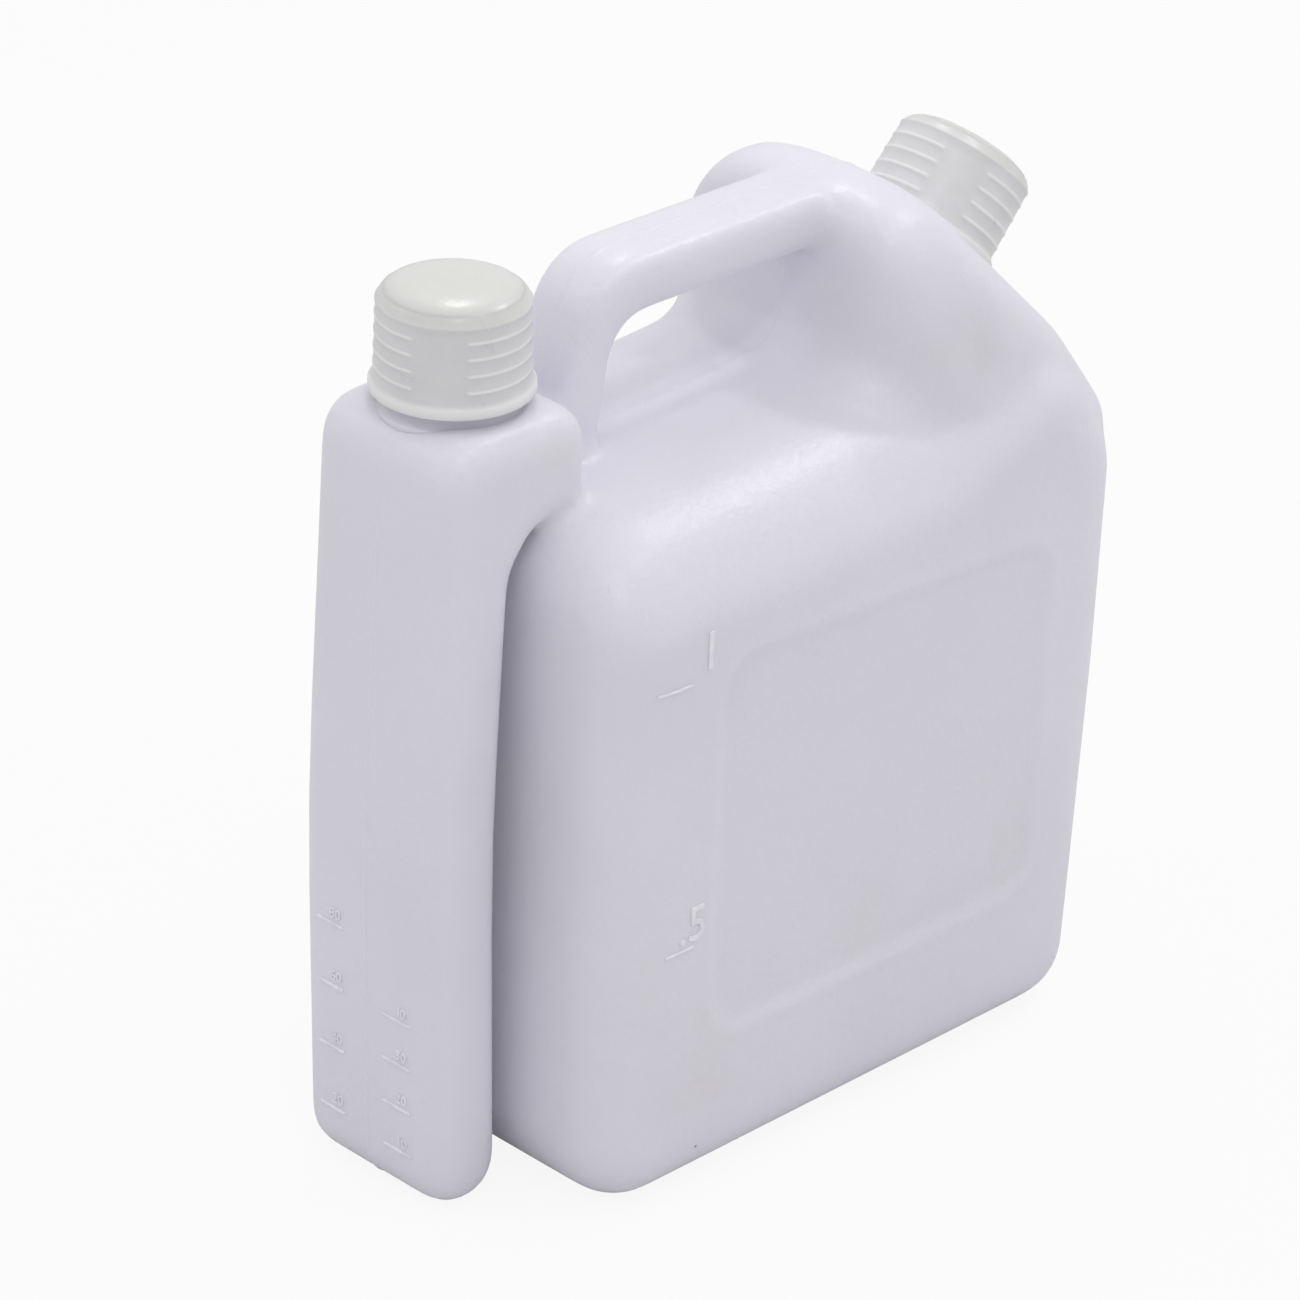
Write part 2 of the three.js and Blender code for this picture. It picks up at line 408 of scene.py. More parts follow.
class Dye:
    """A material under construction."""

    def __init__(self, name: str) -> None:
        """Start a material with an empty Principled surface.

        Args:
            name: Name of the material.
        """
        self.material = bpy.data.materials.new(name)
        self.material.use_nodes = True
        self.tree = self.material.node_tree
        self.surface = self.tree.nodes["Principled BSDF"]

    def node(self, kind: str, settings: dict[str, object] | None = None, **values: object) -> bpy.types.Node:
        """Add any node.

        Args:
            kind: Blender's type of the node.
            settings: Properties that are set first.
            **values: Values, terms or sockets for its inputs, with _ for a space in their names.

        Returns:
            The node.
        """
        node = self.tree.nodes.new(kind)
        for key, value in (settings or {}).items():
            setattr(node, key, value)
        for key, value in values.items():
            self.feed(node.inputs[key.replace("_", " ")], value)
        return node

    def feed(self, slot: bpy.types.NodeSocket, value: object) -> None:
        """Link or set one input.

        Args:
            slot: The input.
            value: A term, a socket or a plain value.
        """
        if isinstance(value, Term):
            self.tree.links.new(value.socket, slot)
        elif isinstance(value, bpy.types.NodeSocket):
            self.tree.links.new(value, slot)
        else:
            slot.default_value = value

    def coordinates(self) -> bpy.types.NodeSocket:
        """Give the object coordinates."""
        return self.node("ShaderNodeTexCoord").outputs["Object"]

    def axes(self) -> tuple[Term, Term, Term]:
        """Give the three object coordinates as numbers."""
        parts = self.node("ShaderNodeSeparateXYZ", Vector=self.coordinates())
        return tuple(Term(self.tree, output) for output in parts.outputs)

    def noise(self, scale: float, detail: float = 2.0, roughness: float = 0.5) -> Term:
        """Add a noise pattern.

        Args:
            scale: Patches per metre.
            detail: Finer layers.
            roughness: Strength of the finer layers.

        Returns:
            Its value, about 0.5 on average.
        """
        node = self.node(
            "ShaderNodeTexNoise", Vector=self.coordinates(), Scale=scale, Detail=detail, Roughness=roughness
        )
        return Term(self.tree, node.outputs["Fac"])

    def attribute(self, name: str) -> Term:
        """Read a number that the mesh carries at each point."""
        return Term(self.tree, self.node("ShaderNodeAttribute", {"attribute_name": name}).outputs["Fac"])

    def blend(self, share: Term, low: object, high: object) -> bpy.types.NodeSocket:
        """Mix two colours.

        Args:
            share: 0 for the first and 1 for the second.
            low: First colour.
            high: Second colour.

        Returns:
            The mixed colour.
        """
        node = self.node("ShaderNodeMix", {"data_type": "RGBA"})
        self.feed(node.inputs[0], share)
        self.feed(node.inputs[6], low)
        self.feed(node.inputs[7], high)
        return node.outputs[2]

    def relief(self, height: Term, distance: float, strength: float = 1.0) -> None:
        """Give the surface a bump.

        Args:
            height: Height pattern.
            distance: Height of a full step, in metres.
            strength: Share of the effect.
        """
        bump = self.node("ShaderNodeBump", Height=height, Distance=distance, Strength=strength)
        self.feed(self.surface.inputs["Normal"], bump.outputs["Normal"])

    def constants(self, **values: object) -> None:
        """Set inputs of the surface that are the same all over."""
        for key, value in values.items():
            self.surface.inputs[key.replace("_", " ")].default_value = value


@dataclass(frozen=True)
class Polyethylene:
    """Milky blow-moulded skin with a faintly pebbled satin gloss."""

    name: str = "bottle_polyethylene"
    milky: Colour = (0.790, 0.778, 0.868, 1.0)
    clouded: Colour = (0.756, 0.742, 0.820, 1.0)
    warm: Colour = (0.768, 0.747, 0.768, 1.0)
    speck: Colour = (0.10, 0.09, 0.08, 1.0)
    roughness: float = 0.36
    pebble: float = 0.00016

    def build(self) -> bpy.types.Material:
        """Make the material.

        Returns:
            The finished material.
        """
        dye = Dye(self.name)
        clouds = dye.noise(16.0, 3.0)
        tone = dye.blend(clouds.eased(0.35, 0.68), self.milky, self.clouded)
        stain = dye.noise(34.0, 4.0, 0.6).eased(0.56, 0.74) * 0.55
        tone = dye.blend(stain, tone, self.warm)
        cells = dye.node("ShaderNodeTexVoronoi", Vector=dye.coordinates(), Scale=52.0)
        rarity = dye.node("ShaderNodeSeparateColor", Color=cells.outputs["Color"])
        dot = Term(dye.tree, cells.outputs["Distance"]).below(0.017)
        chosen = Term(dye.tree, rarity.outputs[0]).above(0.965)
        tone = dye.blend(dot * chosen * 0.8, tone, self.speck)
        dye.feed(dye.surface.inputs["Base Color"], tone)
        pebble = dye.noise(620.0, 2.0)
        swell = dye.noise(42.0, 1.0)
        shine = self.roughness + (pebble - 0.5) * 0.16 + (clouds - 0.5) * 0.1
        dye.feed(dye.surface.inputs["Roughness"], shine)
        dye.relief(pebble + swell * 2.2, self.pebble, 0.85)
        dye.constants(
            IOR=1.5, Subsurface_Weight=0.3, Subsurface_Radius=(1.0, 0.95, 1.0), Subsurface_Scale=0.003,
            Specular_IOR_Level=0.5,
        )
        return dye.material


@dataclass(frozen=True)
class RaisedLine:
    """Thin raised lines and numbers of the same milky plastic, with a painted highlight mixed into their colour in
    patches.
    """

    name: str = "raised_polyethylene"
    milky: Colour = (0.790, 0.790, 0.850, 1.0)
    # Painted highlight colour for the raised lines and numbers.
    painted_glint: Colour = (0.880, 0.880, 0.920, 1.0)

    def build(self) -> bpy.types.Material:
        """Make the material.

        Returns:
            The finished material.
        """
        dye = Dye(self.name)
        patches = dye.noise(260.0, 2.0)
        # The lighter colour is a painted highlight, laid in noise patches over the milky tone.
        tone = dye.blend(patches.eased(0.3, 0.7), self.milky, self.painted_glint)
        dye.feed(dye.surface.inputs["Base Color"], tone)
        dye.feed(dye.surface.inputs["Roughness"], 0.26 + (patches - 0.5) * 0.2)
        dye.relief(patches, 0.00005, 0.5)
        dye.constants(IOR=1.5)
        return dye.material


@dataclass(frozen=True)
class Polypropylene:
    """Thin translucent skirt under a thicker, milkier dome, with a painted highlight on the rib crests and the bead.
    """

    name: str = "cap_polypropylene"
    skirt: Colour = (0.700, 0.698, 0.712, 1.0)
    # Painted highlight colour for the rib crests and the flared bead.
    painted_rib_highlight: Colour = (0.860, 0.858, 0.860, 1.0)
    dome: Colour = (0.700, 0.705, 0.680, 1.0)
    roughness: float = 0.3

    def build(self) -> bpy.types.Material:
        """Make the material.

        Returns:
            The finished material.
        """
        dye = Dye(self.name)
        dome = dye.attribute("dome")
        rib_highlight_mask = dye.attribute("rib_highlight_mask")
        haze = dye.noise(90.0, 3.0)
        tone = dye.blend(haze.eased(0.3, 0.75), self.skirt, (0.745, 0.742, 0.755, 1.0))
        # Painted highlight: a light band on the rib crests and the flared bead.
        tone = dye.blend(rib_highlight_mask, tone, self.painted_rib_highlight)
        tone = dye.blend(dome, tone, self.dome)
        dye.feed(dye.surface.inputs["Base Color"], tone)
        grain = dye.noise(900.0, 2.0)
        dye.feed(dye.surface.inputs["Roughness"], self.roughness + (haze - 0.5) * 0.16)
        dye.relief(grain + dye.noise(160.0, 1.0) * 2.0, 0.00006, 0.8)
        dye.constants(
            IOR=1.49, Subsurface_Weight=0.4, Subsurface_Radius=(1.0, 1.0, 1.0), Subsurface_Scale=0.003,
        )
        return dye.material


@dataclass(frozen=True)
class SealFoam:
    """White closed-cell liner."""

    name: str = "seal_foam"
    white: Colour = (0.82, 0.82, 0.80, 1.0)
    grey: Colour = (0.68, 0.68, 0.66, 1.0)

    def build(self) -> bpy.types.Material:
        """Make the material.

        Returns:
            The finished material.
        """
        dye = Dye(self.name)
        cells = dye.noise(1800.0, 3.0)
        dye.feed(dye.surface.inputs["Base Color"], dye.blend(cells.eased(0.3, 0.7), self.grey, self.white))
        dye.feed(dye.surface.inputs["Roughness"], 0.8 + (cells - 0.5) * 0.2)
        dye.relief(cells, 0.0001, 0.7)
        return dye.material


@dataclass
class Palette:
    """The finishes of the whole bottle."""

    skin: bpy.types.Material
    raised: bpy.types.Material
    cap: bpy.types.Material
    seal: bpy.types.Material

    @classmethod
    def mixed(cls) -> "Palette":
        """Mix all finishes."""
        return cls(Polyethylene().build(), RaisedLine().build(), Polypropylene().build(), SealFoam().build())


def dress(
    obj: bpy.types.Object, material: bpy.types.Material, body: str, angle: float = 40.0
) -> None:
    """Give a piece its finish, shading and body.

    Args:
        obj: The piece.
        material: Its finish.
        body: The body that it rides on.
        angle: Edges sharper than this stay sharp, in degrees.
    """
    obj.data.materials.clear()
    obj.data.materials.append(material)
    Bench.pick(obj)
    bpy.ops.object.shade_smooth_by_angle(angle=math.radians(angle))
    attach(obj, body)
    LOG.info("%s: %d faces", obj.name, len(obj.data.polygons))


@dataclass(frozen=True)
class Seat:
    """Where a neck stands, in drawing millimetres."""

    name: str
    x: float
    z: float
    tilt: float

    def matrix(self) -> Matrix:
        """Give the neck's own frame in the CAD frame."""
        spot = Matrix.Translation(((self.x + DRAWING_SHIFT) * MM, 0.0, self.z * MM))
        return spot @ Matrix.Rotation(math.radians(self.tilt), 4, "Y")


MEASURING_SEAT = Seat("measuring", MEASURING_NECK_X, 170.0, 0.0)
SPOUT_SEAT = Seat("spout", 65.6, 165.4, 42.5)


@dataclass
class BottleShell:
    """Blow-moulded tank, hump, handle and measuring chamber with their two necks."""

    palette: Palette
    wall: float = 1.6
    voxel: float = 1.4
    cavity_voxel: float = 3.0
    tank_half: float = 46.0
    tank_edge: float = 13.0
    hump_half: float = 41.0
    hump_foot: float = 118.0
    hump_top: float = 190.7
    chamber_half: float = 20.6
    chamber_edge: float = 6.5
    handle_half: float = 9.4
    handle_edge: float = 4.0
    neck_outer: float = 12.7
    neck_inner: float = 11.0
    neck_height: float = 21.6
    thread_pitch: float = 3.5
    panel_depth: float = 0.6
    seam_height: float = 0.22

    def tank_outline(self) -> list[Point]:
        """Draw the tank with its shoulder rising into the hump's wall."""
        return rounded([
            (-60.8, 0.0, 14.0), (81.8, 0.0, 14.0), (85.4, 80.0, 260.0), (86.2, 131.0, 22.0),
            (71.5, 158.6, 20.0), (30.0, 155.6, 40.0), (-4.0, 153.6, 60.0), (-60.8, 151.6, 18.0),
        ])

    def hump_outline(self) -> list[Point]:
        """Draw the hump that carries the spout."""
        return rounded([
            (10.0, self.hump_foot, 7.5), (85.6, self.hump_foot, 7.5), (86.0, 140.0, 9.0),
            (71.5, 161.5, 18.0), (44.0, self.hump_top, 12.0), (27.0, self.hump_top, 9.0), (27.0, 167.0, 0.0),
            (26.2, 160.6, 6.0), (20.5, 155.6, 9.0), (10.0, 152.6, 7.4),
        ])

    def chamber_outline(self) -> list[Point]:
        """Draw the measuring chamber with the passage into the tank at its top."""
        return rounded([
            (-84.0, 0.0, 10.0), (-64.8, 0.0, 9.0), (-67.2, 82.0, 600.0), (-64.8, 139.0, 9.0),
            (-58.8, 147.0, 7.4), (-45.4, 147.0, 7.4), (-45.4, 170.0, 7.6), (-82.8, 170.0, 9.0),
            (-86.4, 82.0, 600.0),
        ])

    def handle_outline(self) -> list[Point]:
        """Draw the handle from the hump down to the passage."""
        return rounded([
            (39.0, 190.3, 4.6), (-33.5, 190.3, 16.0), (-48.5, 149.0, 4.6), (-33.0, 149.0, 4.6),
            (-28.2, 177.6, 9.0), (39.0, 177.6, 4.6),
        ])

    def blown(
        self, name: str, outline: list[Point], half: float, edge: float, grow: float = 0.0
    ) -> bpy.types.Object:
        """Thicken an outline to both sides and round its edges.

        Args:
            name: Name of the new object.
            outline: Points in the parting plane, in drawing millimetres.
            half: Half of its depth.
            edge: Radius along its edges.
            grow: How far the surface is moved outwards afterwards.

        Returns:
            The solid.
        """
        start = [((x + DRAWING_SHIFT) * MM, -half * MM, z * MM) for x, z in outline]
        obj = Bench.ring(name, start, True)
        Bench.edit(
            obj,
            lambda: bpy.ops.mesh.extrude_region_move(
                TRANSFORM_OT_translate={"value": (0.0, 2 * half * MM, 0.0)}
            ),
            lambda: bpy.ops.mesh.select_all(action="SELECT"),
            lambda: bpy.ops.mesh.normals_make_consistent(inside=False),
        )
        Bench.modify(
            obj, "BEVEL", width=edge * MM, segments=7, limit_method="ANGLE", angle_limit=math.radians(60),
            use_clamp_overlap=False,
        )
        for count in range(-7, 8):
            Bench.slice_at(obj, (0.0, count / 8 * (half - edge) * MM, 0.0), (0.0, 1.0, 0.0))
        if grow:
            Bench.write(obj, Bench.read(obj) + Bench.normals(obj) * grow * MM)
        return obj

    def crowned_hump(self, obj: bpy.types.Object) -> None:
        """Let the hump's top fall away to both sides.

        Args:
            obj: The hump's solid.
        """
        places = Bench.read(obj)
        height = places[:, 2] / MM
        along = places[:, 0] / MM - DRAWING_SHIFT
        spread = ramp(along, 34.0, 84.0)
        across = np.abs(places[:, 1]) / MM * (1.0 - 0.16 * spread)
        top = np.interp(
            across, [0, 8, 14, 20, 25, 30, 34, 37, 39, 41],
            [190.7, 190.5, 190.0, 188.8, 186.0, 181.0, 175.0, 168.5, 162.0, 152.0],
        )
        share = (top - self.hump_foot) / (self.hump_top - self.hump_foot)
        lifted = self.hump_foot + (height - self.hump_foot) * share
        places[:, 2] = np.where(height > self.hump_foot, lifted, height) * MM
        inset = np.interp(across, [0, 10, 16, 22, 27, 32, 36, 41], [0.0, 0.0, 0.0, 0.4, 1.4, 4.0, 7.0, 12.0])
        squeezed = 86.0 - (86.0 - along) * (59.0 - inset) / 59.0
        shifted = np.where(along < 27.0, along + inset, squeezed)
        places[:, 0] = (np.where(along > 86.0, along, shifted) + DRAWING_SHIFT) * MM
        Bench.write(obj, places)

    def crowned_tank(self, obj: bpy.types.Object) -> None:
        """Let the shoulder fall away to both sides and the walls swell a little.

        Args:
            obj: The tank's solid.
        """
        places = Bench.read(obj)
        height = places[:, 2] / MM
        across = np.abs(places[:, 1]) / MM
        drop = np.interp(across, [0, 10, 20, 30, 38, 46], [0.0, 0.4, 1.9, 5.2, 9.6, 14.0])
        along = places[:, 0] / MM - DRAWING_SHIFT
        drop *= 1.0 - 0.75 * ramp(along, 25.0, 62.0)
        places[:, 2] -= drop * ramp(height, 112.0, 154.0) * MM
        Bench.write(obj, places)

    def bodies(self, grow: float, tag: str) -> bpy.types.Object:
        """Blow all bodies and lay them into one mesh.

        Args:
            grow: How far the surfaces are moved outwards.
            tag: Name of the joined mesh.

        Returns:
            The overlapping bodies in one object.
        """
        tank = self.blown("tank", self.tank_outline(), self.tank_half, self.tank_edge, grow)
        self.crowned_tank(tank)
        hump = self.blown("hump", self.hump_outline(), self.hump_half, 7.0, grow)
        self.crowned_hump(hump)
        chamber = self.blown("chamber", self.chamber_outline(), self.chamber_half, self.chamber_edge, grow)
        handle = self.blown("handle", self.handle_outline(), self.handle_half, self.handle_edge, grow)
        return Bench.weld([tank, hump, chamber, handle], tag)

    def fused(self, grow: float, voxel: float, passes: int, tag: str) -> bpy.types.Object:
        """Melt the bodies into one skin with soft joints.

        Args:
            grow: How far the surfaces are moved outwards first.
            voxel: Grid of the skin, in millimetres.
            passes: Rounds of smoothing.
            tag: Name of the skin.

        Returns:
            The skin.
        """
        skin = self.bodies(grow, tag)
        Bench.modify(
            skin, "REMESH", mode="VOXEL", voxel_size=voxel * MM, adaptivity=0.0, use_smooth_shade=True
        )
        Bench.modify(skin, "SMOOTH", factor=0.5, iterations=passes)
        return skin

    def press_panels(self, skin: bpy.types.Object) -> None:
        """Press the shallow soft-edged panels into the front and the back.

        Args:
            skin: The outer skin.
        """
        places = Bench.read(skin)
        x = places[:, 0] / MM - DRAWING_SHIFT
        y = places[:, 1] / MM
        z = places[:, 2] / MM
        top = 119.5 - 4.0 * (x + 33.0) / 94.5
        reach = 9.0
        dx = np.maximum(np.maximum(-33.0 + reach - x, x - 61.5 + reach), 0.0)
        dz = np.maximum(np.maximum(35.5 + reach - z, z - top + reach), 0.0)
        inside = reach - np.hypot(dx, dz)
        depth = self.panel_depth * ramp(inside, -1.6, 2.0)
        lip = 0.22 * np.exp(-((inside + 1.9) / 0.9) ** 2)
        flat = np.abs(y) > self.tank_half - 3.0
        places[:, 1] -= np.sign(y) * np.where(flat, depth - lip, 0.0) * MM
        Bench.write(skin, places)

    def raise_seam(self, skin: bpy.types.Object) -> None:
        """Raise the fine line where the mould halves met.

        Args:
            skin: The outer skin.
        """
        for offset in (-0.45, 0.0, 0.45):
            Bench.slice_at(skin, (0.0, offset * MM, 0.0), (0.0, 1.0, 0.0))
        places = Bench.read(skin)
        on_line = (np.abs(places[:, 1]) < 1e-6)[:, None]
        Bench.write(skin, places + np.where(on_line, Bench.normals(skin), 0.0) * self.seam_height * MM)

    def neck(self, seat: Seat) -> bpy.types.Object:
        """Turn one neck with its collar and thread.

        Args:
            seat: Where it stands.

        Returns:
            The neck's solid, without its bore.
        """
        outer = self.neck_outer
        top = self.neck_height
        neck = Bench.turned(f"{seat.name}_neck", [
            (0.0, -3.4), (outer + 2.4, -3.4), (outer + 2.4, -0.6), (outer + 0.9, 0.3), (outer + 0.15, 1.2),
            (outer, 2.4), (outer, top - 0.5), (outer - 0.5, top), (0.0, top),
        ], 72)
        Bench.place(neck, seat.matrix())
        return neck

    def thread(self, seat: Seat) -> bpy.types.Object:
        """Sweep the thread that the cap turns on.

        Args:
            seat: Where the neck stands.

        Returns:
            The thread.
        """
        outer = self.neck_outer
        base = 6.2
        thread = Bench.helix(f"{seat.name}_thread", [
            (outer - 0.4, base - 0.2), (outer + 0.1, base), (outer + 0.55, base + 0.45),
            (outer + 0.55, base + 0.85), (outer + 0.1, base + 1.3), (outer - 0.4, base + 1.5),
        ], 3.2, self.thread_pitch)
        Bench.place(thread, seat.matrix())
        return thread

    def bore(self, seat: Seat) -> bpy.types.Object:
        """Turn the plug that opens a neck.

        Args:
            seat: Where the neck stands.

        Returns:
            The plug.
        """
        plug = Bench.turned(f"{seat.name}_bore", [
            (0.0, -6.0), (self.neck_inner, -6.0), (self.neck_inner, self.neck_height - 0.4),
            (self.neck_inner + 0.4, self.neck_height + 0.2), (self.neck_inner + 0.4, self.neck_height + 3.0),
            (0.0, self.neck_height + 3.0),
        ], 64)
        Bench.place(plug, seat.matrix())
        return plug

    def build(self) -> bpy.types.Object:
        """Make the whole bottle.

        Returns:
            The bottle, dressed and riding on its body.
        """
        skin = self.fused(0.0, self.voxel, 12, "bottle_skin")
        self.press_panels(skin)
        self.raise_seam(skin)
        seats = (MEASURING_SEAT, SPOUT_SEAT)
        for seat in seats:
            Bench.combine(skin, self.neck(seat), Join.ADD)
            Bench.combine(skin, self.bore(seat), Join.CUT)
        cavity = self.fused(-self.wall, self.cavity_voxel, 2, "cavity")
        Bench.combine(skin, cavity, Join.CUT)
        skin = Bench.weld([skin, *[self.thread(seat) for seat in seats]], "bottle_skin")
        dress(skin, self.palette.skin, "bottle")
        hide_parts("bottle")
        return skin


@dataclass
class LevelMarks:
    """Raised level lines and plain numbers on the tank and the measuring chamber."""

    palette: Palette
    skin: bpy.types.Object
    height: float = 0.3
    width: float = 0.7

    def line(self, name: str, start: Point, end: Point, facing: Axis, surface: float) -> bpy.types.Object:
        """Make one raised line with rounded edges.

        Args:
            name: Name of the line.
            start: First end: place along the face and height.
            end: Other end.
            facing: The face that carries it.
            surface: Where that face lies, in millimetres.

        Returns:
            The line.
        """
        along = (start[0] + end[0]) / 2
        length = abs(end[0] - start[0])
        Bench.clear()
        bpy.ops.mesh.primitive_cube_add(size=1.0)
        obj = bpy.context.object
        obj.name = name
        size = (length, 2 * self.height, self.width)
        Bench.place(obj, Matrix.Diagonal((*[side * MM for side in size], 1.0)))
        Bench.modify(obj, "BEVEL", width=0.28 * MM, segments=2, limit_method="NONE")
        for count in range(-5, 6):
            Bench.slice_at(obj, (count / 6 * length / 2 * MM, 0.0, 0.0), (1.0, 0.0, 0.0))
        height = (start[1] + end[1]) / 2
        if facing is Axis.FRONT:
            spot = Matrix.Translation(((along + DRAWING_SHIFT) * MM, surface * MM, height * MM))
        else:
            spot = Matrix.Translation(((surface + DRAWING_SHIFT) * MM, along * MM, height * MM))
            spot = spot @ Matrix.Rotation(math.radians(90), 4, "Z")
        Bench.place(obj, spot)
        self.lay_on_skin(obj, facing, surface)
        return obj

    def lay_on_skin(self, obj: bpy.types.Object, facing: Axis, surface: float) -> None:
        """Bend a mark over the skin under it.

        Args:
            obj: The mark.
            facing: The face that carries it.
            surface: Where that face was taken to lie, in millimetres.
        """
        places = Bench.read(obj)
        depth = 1 if facing is Axis.FRONT else 0
        level = surface * MM if facing is Axis.FRONT else (surface + DRAWING_SHIFT) * MM
        outward = math.copysign(1.0, level)
        for place in places:
            start = Vector(place)
            start[depth] = outward * 0.2
            aim = Vector((0.0, 0.0, 0.0))
            aim[depth] = -outward
            hit, spot, _, _ = self.skin.ray_cast(start, aim)
            if hit:
                place[depth] += spot[depth] - level
        Bench.write(obj, places)

    def numeral(self, text: str, size: float, spot: Point, facing: Axis, surface: float) -> bpy.types.Object:
        """Write one plain number on a face.

        Args:
            text: The number.
            size: Height of the font, in millimetres.
            spot: Middle of its foot: place along the face and height.
            facing: The face that carries it.
            surface: Where that face lies.

        Returns:
            The number as a mesh.
        """
        Bench.clear()
        bpy.ops.object.text_add()
        obj = bpy.context.object
        obj.data.body = text
        obj.data.size = size * MM
        obj.data.align_x = "CENTER"
        obj.data.extrude = 0.24 * MM
        obj.data.bevel_depth = 0.05 * MM
        obj.data.resolution_u = 3
        Bench.pick(obj)
        bpy.ops.object.convert(target="MESH")
        obj.name = f"numeral_{facing.value}_{round(spot[1])}_{round(spot[0])}"
        upright = Matrix.Rotation(math.radians(90), 4, "X")
        if facing is Axis.FRONT:
            place = Matrix.Translation(((spot[0] + DRAWING_SHIFT) * MM, surface * MM, spot[1] * MM)) @ upright
        else:
            place = Matrix.Translation(((surface + DRAWING_SHIFT) * MM, spot[0] * MM, spot[1] * MM))
            place = place @ Matrix.Rotation(math.radians(-90), 4, "Z") @ upright
        Bench.place(obj, place)
        self.lay_on_skin(obj, facing, surface)
        return obj

    def chamber_face(self, height: float) -> float:
        """Find the bowed outer face of the chamber at a height, in drawing millimetres."""
        return -84.0 - 2.0 * math.sin(math.pi * min(height, 164.0) / 164.0)

    def build(self) -> bpy.types.Object:
        """Make all marks.

        Returns:
            The marks as one piece.
        """
        made: list[bpy.types.Object] = []
        for side in (-1, 1):
            for z, start, end in ((58.7, -47.5, -39.5), (118.3, -51.5, -42.5)):
                made.append(self.line(f"level_{z}_{side}", (start, z), (end, z), Axis.FRONT, side * 46.0))
        made.append(self.numeral(".5", 11.0, (-40.0, 60.2), Axis.FRONT, -46.0))
        made.append(self.numeral("1", 11.5, (-38.0, 120.4), Axis.FRONT, -46.0))
        for index in range(4):
            z = -0.7 + 14.6 * (index + 1)
            face = self.chamber_face(z)
            made.append(self.line(f"coarse_{index}", (6.5, z), (14.0, z), Axis.OUTER, face))
            made.append(self.numeral(str(20 * (index + 1)), 3.3, (8.6, z + 1.5), Axis.OUTER, face))
            z = 2.4 + 10.2 * (index + 1)
            face = self.chamber_face(z)
            made.append(self.line(f"fine_{index}", (-13.0, z), (-4.8, z), Axis.OUTER, face))
            made.append(self.numeral(str(10 * (index + 1)), 3.0, (-10.4, z + 1.4), Axis.OUTER, face))
        marks = Bench.weld(made, "level_marks")
        dress(marks, self.palette.raised, "bottle")
        return marks


@dataclass
class ScrewCap:
    """Threaded cap with a milky dome, a ribbed skirt and a flared bead."""

    palette: Palette
    seat: Seat
    node: str
    body: str
    plain_from: float
    plain_to: float
    skirt_top: float = 15.0
    skirt_bottom: float = 15.3
    rim: float = 16.3
    lift: float = 2.4
    inner: float = 13.5
    inner_top: float = 22.8
    rib: float = 0.17
    rib_heights: tuple[float, ...] = (7.7, 11.1, 14.5, 17.9)

    def profile(self) -> list[Point]:
        """Draw the cap's section from the axis out, down the skirt and up inside."""
        dome = [
            (0.0, 25.0), (3.5, 24.97), (6.5, 24.84), (9.0, 24.6), (11.2, 24.15), (12.9, 23.45), (14.0, 22.65),
            (14.6, 21.85), (14.92, 21.2),
        ]
        skirt: list[Point] = [(self.skirt_top + 0.16, 20.95), (self.skirt_top + 0.16, 20.65), (self.skirt_top, 20.4)]
        for height in sorted(self.rib_heights, reverse=True):
            radius = self.skirt_top + 0.3 * (21.0 - height) / 16.0
            skirt += [
                (radius, height + 0.45), (radius + self.rib, height + 0.18), (radius + self.rib, height - 0.18),
                (radius, height - 0.45),
            ]
        foot = [
            (self.skirt_bottom, 5.5), (self.skirt_bottom + 0.25, 5.0), (self.rim - 0.3, 4.5), (self.rim, 4.1),
            (self.rim, self.lift + 0.35), (self.rim - 0.35, self.lift), (self.inner + 0.3, self.lift),
            (self.inner, self.lift + 0.3), (self.inner, self.inner_top), (0.0, self.inner_top),
        ]
        return dome + skirt + foot

    def build(self) -> bpy.types.Object:
        """Make the cap.

        Returns:
            The cap, dressed and riding on its body.
        """
        cap = Bench.turned(f"{self.seat.name}_screw_cap", self.profile(), 128)
        places = Bench.read(cap)
        radius = np.hypot(places[:, 0], places[:, 1]) / MM
        height = places[:, 2] / MM
        angle = np.degrees(np.arctan2(places[:, 1], places[:, 0])) % 360.0
        outside = (radius > self.skirt_top - 0.01) & (height > 6.5) & (height < 19.5)
        smooth = self.skirt_top + 0.3 * (21.0 - height) / 16.0
        plain = (angle > self.plain_from) & (angle < self.plain_to) & outside
        shrink = np.where(plain, smooth / np.maximum(radius, 1e-6), 1.0)
        places[:, 0] *= shrink
        places[:, 1] *= shrink
        Bench.write(cap, places)
        # Mask for the painted highlight: full on the rib crests, 0.6 on the flared bead.
        rib_highlight_mask = np.where(outside & ~plain & (radius > smooth + 0.1), 1.0, 0.0)
        rib_highlight_mask = np.maximum(rib_highlight_mask, np.where((height < 4.6) & (radius > 15.6), 0.6, 0.0))
        dome = ramp(height, 20.6, 21.6)
        for name, values in (("rib_highlight_mask", rib_highlight_mask), ("dome", dome)):
            layer = cap.data.attributes.new(name, "FLOAT", "POINT")
            layer.data.foreach_set("value", values.astype(np.float32))
        Bench.place(cap, self.seat.matrix())
        thread = Bench.helix(f"{self.seat.name}_cap_thread", [
            (self.inner + 0.2, 5.4), (self.inner - 0.35, 5.75), (self.inner - 0.35, 6.1), (self.inner + 0.2, 6.45),
        ], 3.0, 3.5)
        Bench.place(thread, self.seat.matrix())
        cap = Bench.weld([cap, thread], f"{self.seat.name}_screw_cap")
        dress(cap, self.palette.cap, self.body, 50.0)
        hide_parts(self.node)
        return cap


